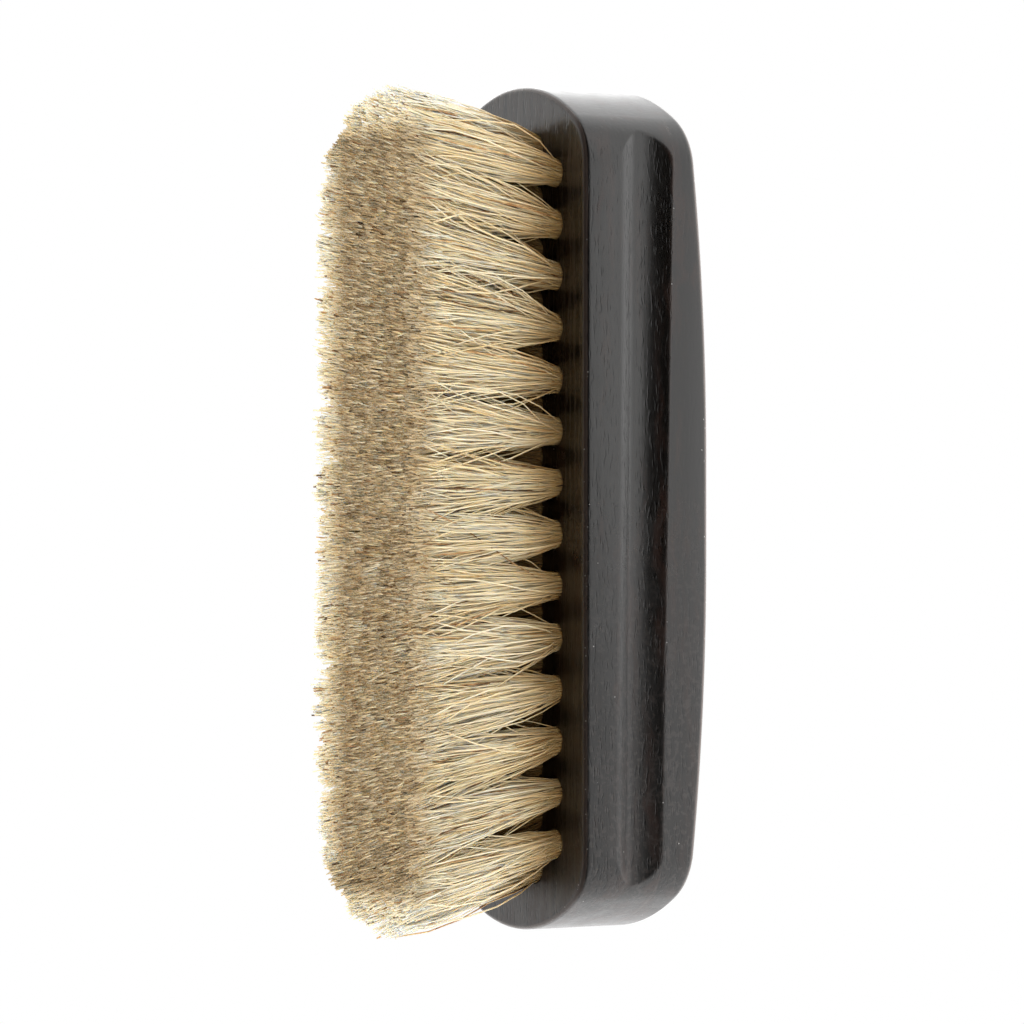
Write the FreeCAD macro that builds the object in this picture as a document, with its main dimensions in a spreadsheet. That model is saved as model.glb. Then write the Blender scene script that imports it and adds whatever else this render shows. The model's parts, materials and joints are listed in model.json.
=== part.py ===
"""Shoe shine brush: one wooden block, with bristle tufts held in blind holes by flat wire anchors.

Millimetres. The brush lies on its back: +X runs along the block, +Y across it, and +Z the way the bristles
point. The origin is the middle of the flat land on which the back rests.
"""
import FreeCAD
import Part
import math
import os
import Sketcher

Vector = FreeCAD.Vector
UP = Vector(0, 0, 1)
# An edge or a normal counts as upright when its Z share of one is above this
STEEP_SHARE = 0.9

SIZES = {
    # Wooden block: plan, height and crowned back
    "block_length": 160.0,
    "block_width": 50.0,
    "block_height": 27.8,
    "end_bulge": 10.0,
    "corner_radius": 10.5,
    "back_land": 18.0,
    "back_radius": 530.0,
    "face_round": 1.3,
    "back_round": 1.5,
    # Finger groove in each long side: a straight slope, then a round cove up to a crisp lip
    "groove_offset": 7.2,
    "groove_slope_width": 3.0,
    "groove_lip_width": 7.9,
    "groove_depth": 1.15,
    # Tuft holes: staggered rows between margins, drilled along lines that meet far below the block
    "end_margin": 12.1,
    "side_margin": 10.8,
    "fan_distance": 284.0,
    "hole_diameter": 5.7,
    "hole_depth": 13.0,
    "drill_point_angle": 118.0,
    # Bristle tufts
    "bristle_length": 31.2,
    "tuft_collar": 1.2,
    "tuft_fit": 0.1,
    "tuft_gap": 0.5,
    # Flat wire anchors
    "anchor_bite": 0.3,
    "anchor_width": 1.6,
    "anchor_thickness": 0.4,
    "anchor_seat": 2.2,
    "anchor_fit": 0.05,
    # Cuts run past the faces that they open by this much
    "overrun": 5.0,
}

# Lengthwise rows of tufts, and tufts in a long row: a short row has one less, set half a pitch in
TUFT_ROWS = 5
LONG_ROW_TUFTS = 15

# Sheet formulas that share the drilled face out between the margins
DERIVED_SIZES = {
    "tuft_pitch": f"=(block_length - 2 * end_margin) / {LONG_ROW_TUFTS - 1}",
    "row_pitch": f"=(block_width - 2 * side_margin) / {TUFT_ROWS - 1}",
}


def make_sheet(doc):
    """Put every driving size and every derived one in a spreadsheet cell of its own, under its name."""
    sheet = doc.addObject("Spreadsheet::Sheet", "sizes")
    for row, (alias, value) in enumerate((SIZES | DERIVED_SIZES).items(), start=1):
        sheet.set(f"A{row}", alias)
        sheet.set(f"B{row}", str(value))
        sheet.setAlias(f"B{row}", alias)
    doc.recompute()
    return sheet


def read_sizes(sheet):
    """Sizes as the sheet holds them."""
    return {alias: float(sheet.get(alias)) for alias in (*SIZES, *DERIVED_SIZES)}


# Sketch helpers

def new_sketch(body, name, role):
    """A sketch on one of the body's own origin planes."""
    plane = next(item for item in body.Origin.OriginFeatures if item.Role == role)
    sketch = body.newObject("Sketcher::SketchObject", name)
    sketch.AttachmentSupport = [(plane, "")]
    sketch.MapMode = "FlatFace"
    return sketch


def bind(sketch, name, expression, *constraint):
    """Add a dimension to a sketch and tie it to the sheet."""
    index = sketch.addConstraint(Sketcher.Constraint(*constraint))
    sketch.renameConstraint(index, name)
    sketch.setExpression(f"Constraints.{name}", expression)


def relate(sketch, *constraints):
    """Add constraints that hold no size."""
    for constraint in constraints:
        sketch.addConstraint(Sketcher.Constraint(*constraint))


def arc(centre_x, centre_y, radius, start, end):
    """An arc of a circle in a sketch's plane, from one angle round to another."""
    circle = Part.Circle(Vector(centre_x, centre_y, 0), UP, radius)
    return Part.ArcOfCircle(circle, start, end)


def line(x1, y1, x2, y2):
    """A straight edge in a sketch's plane."""
    return Part.LineSegment(Vector(x1, y1, 0), Vector(x2, y2, 0))


# Block

def sketch_plan(body, size):
    """Plan outline: straight long sides, closed at each end by a wide arc."""
    half_width = size["block_width"] / 2
    bulge = size["end_bulge"]
    radius = (bulge ** 2 + half_width ** 2) / (2 * bulge)
    side_end = size["block_length"] / 2 - bulge
    centre = size["block_length"] / 2 - radius
    turn = math.atan2(half_width, side_end - centre)
    sketch = new_sketch(body, "block_plan", "XY_Plane")
    sketch.addGeometry([
        line(-side_end, -half_width, side_end, -half_width),
        arc(centre, 0, radius, -turn, turn),
        line(side_end, half_width, -side_end, half_width),
        arc(-centre, 0, radius, math.pi - turn, math.pi + turn),
    ])
    relate(
        sketch,
        ("Coincident", 0, 2, 1, 1),
        ("Coincident", 1, 2, 2, 1),
        ("Coincident", 2, 2, 3, 1),
        ("Coincident", 3, 2, 0, 1),
        ("Symmetric", 0, 1, 0, 2, -2),
        ("Symmetric", 2, 1, 0, 2, -1),
        ("Symmetric", 2, 2, 0, 1, -1),
        ("Equal", 1, 3),
    )
    bind(sketch, "side_length", "sizes.block_length - 2 * sizes.end_bulge",
         "DistanceX", 0, 1, 0, 2, 2 * side_end)
    bind(sketch, "width", "sizes.block_width", "DistanceY", 0, 2, 2, 1, 2 * half_width)
    bind(sketch, "end_radius", "(sizes.end_bulge ^ 2 + (sizes.block_width / 2) ^ 2) / (2 * sizes.end_bulge)",
         "Radius", 1, radius)
    return sketch


def sketch_back(body, size):
    """What is cut away under the back: a flat land in the middle, with a long arc rising to each end."""
    half_land = size["back_land"] / 2
    radius = size["back_radius"]
    past_end = size["block_length"] / 2 + size["overrun"]
    below = -size["overrun"]
    sweep = math.asin((past_end - half_land) / radius)
    rise = radius * (1 - math.cos(sweep))
    bottom = -math.pi / 2
    sketch = new_sketch(body, "back_profile", "XZ_Plane")
    sketch.addGeometry([
        line(-half_land, 0, half_land, 0),
        arc(half_land, radius, radius, bottom, bottom + sweep),
        line(past_end, rise, past_end, below),
        line(past_end, below, -past_end, below),
        line(-past_end, below, -past_end, rise),
        arc(-half_land, radius, radius, bottom - sweep, bottom),
    ])
    relate(
        sketch,
        ("Tangent", 0, 2, 1, 1),
        ("Coincident", 1, 2, 2, 1),
        ("Coincident", 2, 2, 3, 1),
        ("Coincident", 3, 2, 4, 1),
        ("Coincident", 4, 2, 5, 1),
        ("Tangent", 5, 2, 0, 1),
        ("PointOnObject", 0, 1, -1),
        ("Symmetric", 0, 1, 0, 2, -2),
        ("Symmetric", 3, 1, 3, 2, -2),
        ("Vertical", 2),
        ("Vertical", 4),
        ("Equal", 1, 5),
    )
    bind(sketch, "land", "sizes.back_land", "DistanceX", 0, 1, 0, 2, 2 * half_land)
    bind(sketch, "radius", "sizes.back_radius", "Radius", 1, radius)
    bind(sketch, "length", "sizes.block_length + 2 * sizes.overrun", "DistanceX", 3, 2, 3, 1, 2 * past_end)
    bind(sketch, "depth", "sizes.overrun", "DistanceY", 3, 1, -1, 1, -below)
    return sketch


def sketch_groove(body, size):
    """Section of the finger groove in the -Y side, closed off outside the block."""
    side = -size["block_width"] / 2
    outside = side - size["overrun"]
    soft_edge = size["block_height"] - size["groove_offset"]
    slope_end = soft_edge - size["groove_slope_width"]
    lip = slope_end - size["groove_lip_width"]
    floor = side + size["groove_depth"]
    slope = math.atan2(size["groove_depth"], size["groove_slope_width"])
    chord = math.hypot(size["groove_depth"], size["groove_lip_width"])
    turn = slope + math.atan2(size["groove_depth"], size["groove_lip_width"])
    radius = chord / (2 * math.sin(turn))
    centre_y = floor - radius * math.cos(slope)
    centre_z = slope_end - radius * math.sin(slope)
    sketch = new_sketch(body, "groove_section", "YZ_Plane")
    sketch.addGeometry([
        line(side, soft_edge, floor, slope_end),
        arc(centre_y, centre_z, radius, slope - 2 * turn, slope),
        line(side, lip, outside, lip),
        line(outside, lip, outside, soft_edge),
        line(outside, soft_edge, side, soft_edge),
    ])
    relate(
        sketch,
        ("Tangent", 0, 2, 1, 2),
        ("Coincident", 1, 1, 2, 1),
        ("Coincident", 2, 2, 3, 1),
        ("Coincident", 3, 2, 4, 1),
        ("Coincident", 4, 2, 0, 1),
        ("Horizontal", 2),
        ("Vertical", 3),
        ("Horizontal", 4),
    )
    half_width = -side
    bind(sketch, "side_at_edge", "sizes.block_width / 2", "DistanceX", 0, 1, -1, 1, half_width)
    bind(sketch, "side_at_lip", "sizes.block_width / 2", "DistanceX", 1, 1, -1, 1, half_width)
    bind(sketch, "depth", "sizes.groove_depth", "DistanceX", 0, 1, 0, 2, size["groove_depth"])
    bind(sketch, "edge_height", "sizes.block_height - sizes.groove_offset",
         "DistanceY", -1, 1, 0, 1, soft_edge)
    bind(sketch, "slope_width", "sizes.groove_slope_width",
         "DistanceY", 0, 2, 0, 1, size["groove_slope_width"])
    bind(sketch, "lip_width", "sizes.groove_lip_width", "DistanceY", 1, 1, 0, 2, size["groove_lip_width"])
    bind(sketch, "outside", "sizes.overrun", "DistanceX", 3, 1, 0, 1, size["overrun"])
    return sketch


def facing(face):
    """Outward normal at the middle of a face."""
    u_low, u_high, v_low, v_high = face.ParameterRange
    return face.normalAt((u_low + u_high) / 2, (v_low + v_high) / 2)


def edge_names(shape, wanted):
    """Names of the edges of a shape that pass a test."""
    return [f"Edge{index}" for index, edge in enumerate(shape.Edges, start=1) if wanted(edge)]


def rim_names(shape, faces):
    """Names of the edges round a patch of faces: those that only one face of the patch has."""
    def on_rim(edge):
        owners = [face for face in faces if any(edge.isSame(other) for other in face.Edges)]
        return len(owners) == 1
    return edge_names(shape, on_rim)


def add_fillet(body, name, base, edges, alias):
    """Round some edges of a body by a size of the sheet."""
    fillet = body.newObject("PartDesign::Fillet", name)
    fillet.Base = (base, edges)
    fillet.setExpression("Radius", f"sizes.{alias}")
    body.Document.recompute()
    return fillet


def add_through_cut(body, name, sketch):
    """Cut a sketch through the whole body, both ways, and check that it took wood away."""
    before = body.Shape.Volume
    cut = body.newObject("PartDesign::Pocket", name)
    cut.Profile = sketch
    cut.Type = "ThroughAll"
    cut.Midplane = True
    body.Document.recompute()
    if not cut.Shape.Volume < before:
        raise RuntimeError(f"{name} cut nothing")
    return cut


def make_block_body(doc, size):
    """The shaped block before drilling: plan, crowned back, rounded rims and two finger grooves."""
    body = doc.addObject("PartDesign::Body", "shaped_block")
    pad = body.newObject("PartDesign::Pad", "block_pad")
    pad.Profile = sketch_plan(body, size)
    pad.setExpression("Length", "sizes.block_height")
    doc.recompute()

    corners = edge_names(pad.Shape, lambda edge: abs(edge.tangentAt(edge.FirstParameter).z) > STEEP_SHARE)
    add_fillet(body, "corner_rounds", pad, corners, "corner_radius")

    back = add_through_cut(body, "back_crown", sketch_back(body, size))
    drilled_face = [face for face in back.Shape.Faces if facing(face).z > STEEP_SHARE]
    face = add_fillet(body, "face_rim_round", back, rim_names(back.Shape, drilled_face), "face_round")
    back_faces = [item for item in face.Shape.Faces if facing(item).z < -STEEP_SHARE]
    add_fillet(body, "back_rim_round", face, rim_names(face.Shape, back_faces), "back_round")

    groove = add_through_cut(body, "finger_groove", sketch_groove(body, size))
    mirror = body.newObject("PartDesign::Mirrored", "far_finger_groove")
    mirror.Originals = [groove]
    plane = next(item for item in body.Origin.OriginFeatures if item.Role == "XZ_Plane")
    mirror.MirrorPlane = (plane, [""])
    body.Tip = mirror
    doc.recompute()
    return body


# Tufts, their holes and their anchors

HOLE_RADIUS = "(sizes.hole_diameter / 2)"
ROOT_RADIUS = "(sizes.hole_diameter / 2 - sizes.tuft_fit)"
FAN_LENGTH = "(sizes.bristle_length - sizes.tuft_collar)"
# Neighbours are nearest along a row or in the next row, and at the tips they are spread but still a gap apart
NEAREST_TUFT = "min(sizes.tuft_pitch; hypot(sizes.tuft_pitch / 2; sizes.row_pitch))"
TIP_RADIUS = f"(({NEAREST_TUFT} * (1 + sizes.bristle_length / sizes.fan_distance) - sizes.tuft_gap) / 2)"
# A cone that runs past the tips by the overrun, so that it can be trimmed level
PAST_TIP_SHARE = f"(1 + sizes.overrun / {FAN_LENGTH})"


def tuft_stations(size):
    """Hole mouths on the drilled face, as cross rows from -X to +X.

    The lengthwise rows are staggered by half a pitch: the outermost row is a short one and its neighbour is a
    long one, so the cross rows take turns too.
    """
    stations = [[] for _ in range(2 * LONG_ROW_TUFTS - 1)]
    for row in range(TUFT_ROWS):
        short = 1 - row % 2
        count = LONG_ROW_TUFTS - short
        y = (row - (TUFT_ROWS - 1) / 2) * size["row_pitch"]
        for place in range(count):
            x = (place - (count - 1) / 2) * size["tuft_pitch"]
            stations[2 * place + short].append(Vector(x, y, size["block_height"]))
    return stations


def tuft_axis(mouth, size):
    """Unit vector along a tuft, away from the point where the drilling lines meet."""
    meeting_point = Vector(0, 0, size["block_height"] - size["fan_distance"])
    return (mouth - meeting_point).normalize()


def place_along(mouth, size, distance, offset=Vector()):
    """Placement on a tuft's axis, at a distance above the hole's floor, with local Z along the axis."""
    axis = tuft_axis(mouth, size)
    turn = FreeCAD.Rotation(UP, axis)
    floor = mouth - axis * size["hole_depth"]
    return FreeCAD.Placement(floor + axis * distance + turn.multVec(offset), turn)


def add_primitive(doc, kind, name, placement, **expressions):
    """A Part primitive whose sizes are tied to the sheet."""
    item = doc.addObject(f"Part::{kind}", name)
    for size_name, expression in expressions.items():
        item.setExpression(size_name, expression)
    item.Placement = placement
    return item


def add_group(doc, name, members):
    """Separate solids kept together."""
    group = doc.addObject("Part::Compound", name)
    group.Label = name
    group.Links = members
    return group


def add_fusion(doc, name, members):
    """Solids joined into one."""
    fusion = doc.addObject("Part::MultiFuse", name)
    fusion.Shapes = members
    return fusion


def add_cut(doc, name, base, tool):
    """One object less another."""
    cut = doc.addObject("Part::Cut", name)
    cut.Label = name
    cut.Base = base
    cut.Tool = tool
    return cut


def add_anchor_bar(doc, name, mouth, size, fit=""):
    """A flat wire along the grain near the floor of a hole, or its slot, larger all round by a named fit."""
    clearance = size[fit] if fit else 0
    growth = f" + 2 * sizes.{fit}" if fit else ""
    length = size["hole_diameter"] + 2 * size["anchor_bite"] + 2 * clearance
    thickness = size["anchor_thickness"] + 2 * clearance
    width = size["anchor_width"] + 2 * clearance
    corner = Vector(-length / 2, -thickness / 2, -width / 2)
    return add_primitive(
        doc, "Box", name, place_along(mouth, size, size["anchor_seat"], corner),
        Length=f"sizes.hole_diameter + 2 * sizes.anchor_bite{growth}",
        Width=f"sizes.anchor_thickness{growth}",
        Height=f"sizes.anchor_width{growth}",
    )


def add_hole(doc, number, mouth, size, slot):
    """What a tuft's hole takes out of the block: bore, drill point and the slot that its anchor bites."""
    floor = place_along(mouth, size, 0)
    downward = FreeCAD.Placement(floor.Base, FreeCAD.Rotation(UP, tuft_axis(mouth, size) * -1))
    bore = add_primitive(
        doc, "Cylinder", f"bore_{number:02d}", floor,
        Radius=HOLE_RADIUS,
        Height="sizes.hole_depth + sizes.overrun",
    )
    point = add_primitive(
        doc, "Cone", f"drill_point_{number:02d}", downward,
        Radius1=HOLE_RADIUS,
        Radius2="0",
        Height=f"{HOLE_RADIUS} / tan(sizes.drill_point_angle / 2 * 1 deg)",
    )
    return add_fusion(doc, f"hole_{number:02d}", [bore, point, slot])


def add_tuft(doc, number, mouth, size):
    """A tuft before trimming, as one plain solid: a round root in its hole, then a widening cone."""
    root = add_primitive(
        doc, "Cylinder", f"root_{number:02d}", place_along(mouth, size, 0),
        Radius=ROOT_RADIUS,
        Height="sizes.hole_depth + sizes.tuft_collar",
    )
    fan = add_primitive(
        doc, "Cone", f"fan_{number:02d}", place_along(mouth, size, size["hole_depth"] + size["tuft_collar"]),
        Radius1=ROOT_RADIUS,
        Radius2=f"{ROOT_RADIUS} + ({TIP_RADIUS} - {ROOT_RADIUS}) * {PAST_TIP_SHARE}",
        Height=f"{FAN_LENGTH} * {PAST_TIP_SHARE}",
    )
    return add_fusion(doc, f"tuft_{number:02d}", [root, fan])


def add_trim(doc, size):
    """Everything above the level at which the bristles are trimmed."""
    tip_height = size["block_height"] + size["bristle_length"]
    corner = Vector(-size["block_length"], -size["block_width"], tip_height)
    return add_primitive(
        doc, "Box", "trim", FreeCAD.Placement(corner, FreeCAD.Rotation()),
        Length="2 * sizes.block_length",
        Width="2 * sizes.block_width",
        Height="2 * sizes.overrun",
    )


def make_brush(doc):
    """Build every piece of the brush and return those that are kept."""
    sheet = make_sheet(doc)
    size = read_sizes(sheet)
    body = make_block_body(doc, size)
    trim = add_trim(doc, size)

    rows = []
    holes = []
    anchors = []
    for station, mouths in enumerate(tuft_stations(size), start=1):
        tufts = []
        slots = []
        for mouth in mouths:
            number = len(holes) + 1
            slot = add_anchor_bar(doc, f"anchor_slot_{number:02d}", mouth, size, "anchor_fit")
            slots.append(slot)
            tufts.append(add_tuft(doc, number, mouth, size))
            holes.append(add_hole(doc, number, mouth, size, slot))
            anchors.append(add_anchor_bar(doc, f"anchor_{number:02d}", mouth, size))
        untrimmed = add_group(doc, f"untrimmed_row_{station:02d}", tufts)
        waste = add_group(doc, f"waste_of_row_{station:02d}", [*slots, trim])
        rows.append(add_cut(doc, f"tuft_row_{station:02d}", untrimmed, waste))

    block = add_cut(doc, "block", body, add_group(doc, "tuft_holes", holes))
    tuft_anchors = add_group(doc, "tuft_anchors", anchors)
    doc.recompute()
    return [block, *rows, tuft_anchors]


def check(doc, pieces):
    """Stop if any object failed or any piece has no valid shape."""
    for item in doc.Objects:
        if "Invalid" in item.State or "Error" in item.State:
            raise RuntimeError(f"{item.Label} failed: {item.State}")
    for piece in pieces:
        if piece.Shape.isNull() or not piece.Shape.isValid():
            raise RuntimeError(f"{piece.Label} has no valid shape")


def main():
    """Build, check and write the brush."""
    doc = FreeCAD.newDocument("shoe_shine_brush")
    pieces = make_brush(doc)
    check(doc, pieces)
    os.makedirs("parts", exist_ok=True)
    for piece in pieces:
        piece.Shape.exportStep(f"parts/{piece.Label}.step")
        print(f"{piece.Label}: {len(piece.Shape.Solids)} solids, {piece.Shape.Volume:.0f} mm3")


main()
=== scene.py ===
"""Shoe shine brush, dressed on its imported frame.

Metres. The brush lies on its back: +X runs along the block, +Y across it, and +Z the way the bristles
point. A stained block, hair tufts in staggered rows and hidden wire anchors stand in a white studio.
"""
import json
import logging
import math
from dataclasses import dataclass
from enum import Enum

import bmesh
import bpy
import numpy as np
from mathutils import Matrix, Vector

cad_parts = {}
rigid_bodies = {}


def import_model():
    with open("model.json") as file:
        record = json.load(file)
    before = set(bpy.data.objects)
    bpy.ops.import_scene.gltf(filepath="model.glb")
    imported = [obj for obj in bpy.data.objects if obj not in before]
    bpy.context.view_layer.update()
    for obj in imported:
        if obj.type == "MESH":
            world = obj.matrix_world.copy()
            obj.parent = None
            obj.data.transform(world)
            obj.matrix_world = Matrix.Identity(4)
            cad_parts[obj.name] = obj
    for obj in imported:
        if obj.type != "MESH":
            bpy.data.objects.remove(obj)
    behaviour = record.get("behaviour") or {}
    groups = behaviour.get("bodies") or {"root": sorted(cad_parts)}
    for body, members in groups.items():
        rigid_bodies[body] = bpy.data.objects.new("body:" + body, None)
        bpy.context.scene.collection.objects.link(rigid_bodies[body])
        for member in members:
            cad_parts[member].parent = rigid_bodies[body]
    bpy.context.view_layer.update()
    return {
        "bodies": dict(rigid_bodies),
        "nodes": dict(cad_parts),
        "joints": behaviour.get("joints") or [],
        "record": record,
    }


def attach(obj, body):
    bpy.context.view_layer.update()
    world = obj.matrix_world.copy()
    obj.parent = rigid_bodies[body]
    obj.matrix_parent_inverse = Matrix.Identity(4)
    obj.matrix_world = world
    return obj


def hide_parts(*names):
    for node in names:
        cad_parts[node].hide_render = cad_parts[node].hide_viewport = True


LOG = logging.getLogger("shoe_shine_brush")
BODY = "root"
FRAME_PIXELS = 1024
HALF_UNIT = 0.5
TINY = 1e-9

Array = np.ndarray
Dice = np.random.Generator
Material = bpy.types.Material
Piece = bpy.types.Object
Socket = bpy.types.NodeSocket
Colour = tuple[float, float, float]
Point = tuple[float, float, float]
Span = tuple[float, float]
Steps = tuple[Span, ...]
Feeds = dict[str | int, object]
Stops = tuple[tuple[float, Colour], ...]


class Slot(Enum):
    """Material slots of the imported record."""

    STAINED_WOOD = "stained_wood"
    BRISTLE = "bristle"
    ANCHOR_WIRE = "anchor_wire"


class NodeDesk:
    """A node tree under work, with short ways to add and join its nodes."""

    def __init__(self, tree: bpy.types.NodeTree) -> None:
        """Start on a tree."""
        self.tree = tree

    def add(self, kind: str, feeds: Feeds | None = None, **settings: object) -> bpy.types.Node:
        """Add a node.

        Args:
            kind: The node's type name.
            feeds: What goes to its inputs, by name or number.
            settings: Properties to set on it.

        Returns:
            The new node.
        """
        node = self.tree.nodes.new(kind)
        for name, value in settings.items():
            setattr(node, name, value)
        self.feed_all(node, feeds or {})
        return node

    def feed(self, socket: Socket, value: object) -> None:
        """Link a socket to an output, or set it.

        Args:
            socket: The input to feed.
            value: Another node's output, or a plain value.
        """
        if isinstance(value, Socket):
            self.tree.links.new(value, socket)
        else:
            socket.default_value = value

    def feed_all(self, node: bpy.types.Node, feeds: Feeds) -> None:
        """Feed a node's inputs by name or number."""
        for name, value in feeds.items():
            self.feed(node.inputs[name], value)

    def place(self) -> Socket:
        """Give the place on the piece, in metres."""
        return self.add("ShaderNodeTexCoord").outputs["Object"]

    def attribute(self, name: str) -> Socket:
        """Give a number that the piece's mesh keeps under a name."""
        return self.add("ShaderNodeAttribute", attribute_name=name).outputs["Fac"]

    def axes(self, place: Socket) -> bpy.types.Node:
        """Split a place into its X, Y and Z."""
        return self.add("ShaderNodeSeparateXYZ", {"Vector": place})

    def group(self, tree: bpy.types.NodeTree, **inputs: object) -> Socket:
        """Place a shared effect, fed by name, and give its one output."""
        return self.add("ShaderNodeGroup", inputs, node_tree=tree).outputs[0]

    def math(self, operation: str, *values: object) -> Socket:
        """Reckon with numbers, in the Math node's order."""
        return self.add("ShaderNodeMath", dict(enumerate(values)), operation=operation).outputs["Value"]

    def spread(self, value: object, span: Span, result: Span = (0.0, 1.0)) -> Socket:
        """Map a number smoothly from the ends of its span to those of the result."""
        feeds = dict(zip(("Value", "From Min", "From Max", "To Min", "To Max"), (value, *span, *result)))
        return self.add("ShaderNodeMapRange", feeds, interpolation_type="SMOOTHSTEP").outputs["Result"]

    def vector(self, operation: str, *values: object) -> Socket:
        """Reckon with vectors or colours, and for SCALE with a vector and a share."""
        feeds = dict(zip((0, "Scale"), values)) if operation == "SCALE" else dict(enumerate(values))
        return self.add("ShaderNodeVectorMath", feeds, operation=operation).outputs["Vector"]

    def ramp(self, value: object, stops: Stops) -> Socket:
        """Turn a number into a colour.

        Args:
            value: The number, from 0 to 1.
            stops: Places on the ramp with their colours.

        Returns:
            The colour.
        """
        node = self.add("ShaderNodeValToRGB", {"Fac": value})
        elements = node.color_ramp.elements
        while len(elements) < len(stops):
            elements.new(1.0)
        for element, (position, colour) in zip(elements, stops):
            element.position = position
            element.color = (*colour, 1.0)
        return node.outputs["Color"]

    def mix(self, share: object, first: object, second: object) -> Socket:
        """Mix two colours.

        Args:
            share: How much of the second.
            first: A colour or an output.
            second: A colour or an output.

        Returns:
            The mixed colour.
        """
        node = self.add("ShaderNodeMix", data_type="RGBA")
        sockets = {socket.identifier: socket for socket in (*node.inputs, *node.outputs)}
        self.feed(sockets["Factor_Float"], share)
        for name, value in (("A_Color", first), ("B_Color", second)):
            self.feed(sockets[name], value if isinstance(value, Socket) else (*value, 1.0))
        return sockets["Result_Color"]


class SurfaceEffects:
    """Node groups that more than one finish uses."""

    wander_repeats: float = 120.0

    def __init__(self) -> None:
        """Build each group once."""
        self.grain = self.make_grain()
        self.mottle = self.make_mottle()

    @staticmethod
    def start(name: str, numbers: tuple[str, ...]) -> tuple[NodeDesk, bpy.types.Node, bpy.types.Node]:
        """Start a group that turns a place into a number.

        Args:
            name: The group's name.
            numbers: Names of its plain number inputs.

        Returns:
            The group's desk, its input node and its output node.
        """
        tree = bpy.data.node_groups.new(name, "ShaderNodeTree")
        tree.interface.new_socket("Place", in_out="INPUT", socket_type="NodeSocketVector")
        for number in numbers:
            tree.interface.new_socket(number, in_out="INPUT", socket_type="NodeSocketFloat")
        tree.interface.new_socket("Value", in_out="OUTPUT", socket_type="NodeSocketFloat")
        desk = NodeDesk(tree)
        return desk, desk.add("NodeGroupInput"), desk.add("NodeGroupOutput")

    def make_grain(self) -> bpy.types.NodeTree:
        """Make thin marks that run along X and wander, so many to the metre along and across.

        Returns:
            The group.
        """
        desk, given, result = self.start("lengthwise_grain", ("Along", "Across", "Wander", "Detail"))
        ask = given.outputs
        drift = desk.add("ShaderNodeTexNoise", {"Vector": ask["Place"], "Scale": self.wander_repeats})
        sway = desk.vector("SUBTRACT", drift.outputs["Color"], (HALF_UNIT,) * 3)
        place = desk.vector("ADD", ask["Place"], desk.vector("SCALE", sway, ask["Wander"]))
        across = ask["Across"]
        repeats = desk.add("ShaderNodeCombineXYZ", {"X": ask["Along"], "Y": across, "Z": across})
        place = desk.vector("MULTIPLY", place, repeats.outputs["Vector"])
        noise = desk.add("ShaderNodeTexNoise", {"Vector": place, "Scale": 1.0, "Detail": ask["Detail"]})
        desk.feed(result.inputs["Value"], noise.outputs["Fac"])
        return desk.tree

    def make_mottle(self) -> bpy.types.NodeTree:
        """Make soft even blotches, so many to the metre.

        Returns:
            The group.
        """
        desk, given, result = self.start("soft_mottle", ("Repeats", "Detail"))
        ask = given.outputs
        noise = desk.add("ShaderNodeTexNoise", {"Vector": ask["Place"], "Scale": ask["Repeats"],
                                                "Detail": ask["Detail"]})
        desk.feed(result.inputs["Value"], noise.outputs["Fac"])
        return desk.tree


@dataclass(frozen=True)
class Grain:
    """Thin marks along X: so many to the metre along and across, how far they wander, how fine they get."""

    along: float
    across: float
    wander: float = 0.0
    detail: float = 2.0

    def draw(self, desk: NodeDesk, place: Socket, effects: SurfaceEffects) -> Socket:
        """Draw the marks on a surface."""
        return desk.group(effects.grain, Place=place, Along=self.along, Across=self.across,
                          Wander=self.wander, Detail=self.detail)


@dataclass(frozen=True)
class Mottle:
    """Soft even blotches: so many to the metre, and how fine they get."""

    repeats: float
    detail: float

    def draw(self, desk: NodeDesk, place: Socket, effects: SurfaceEffects) -> Socket:
        """Draw the blotches on a surface."""
        return desk.group(effects.mottle, Place=place, Repeats=self.repeats, Detail=self.detail)


def new_finish(name: str) -> tuple[Material, NodeDesk, bpy.types.Node]:
    """Start a material.

    Args:
        name: The material's name.

    Returns:
        The material, the desk of its nodes and its Principled shader.
    """
    material = bpy.data.materials.new(name)
    material.use_nodes = True
    return material, NodeDesk(material.node_tree), material.node_tree.nodes["Principled BSDF"]


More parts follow.
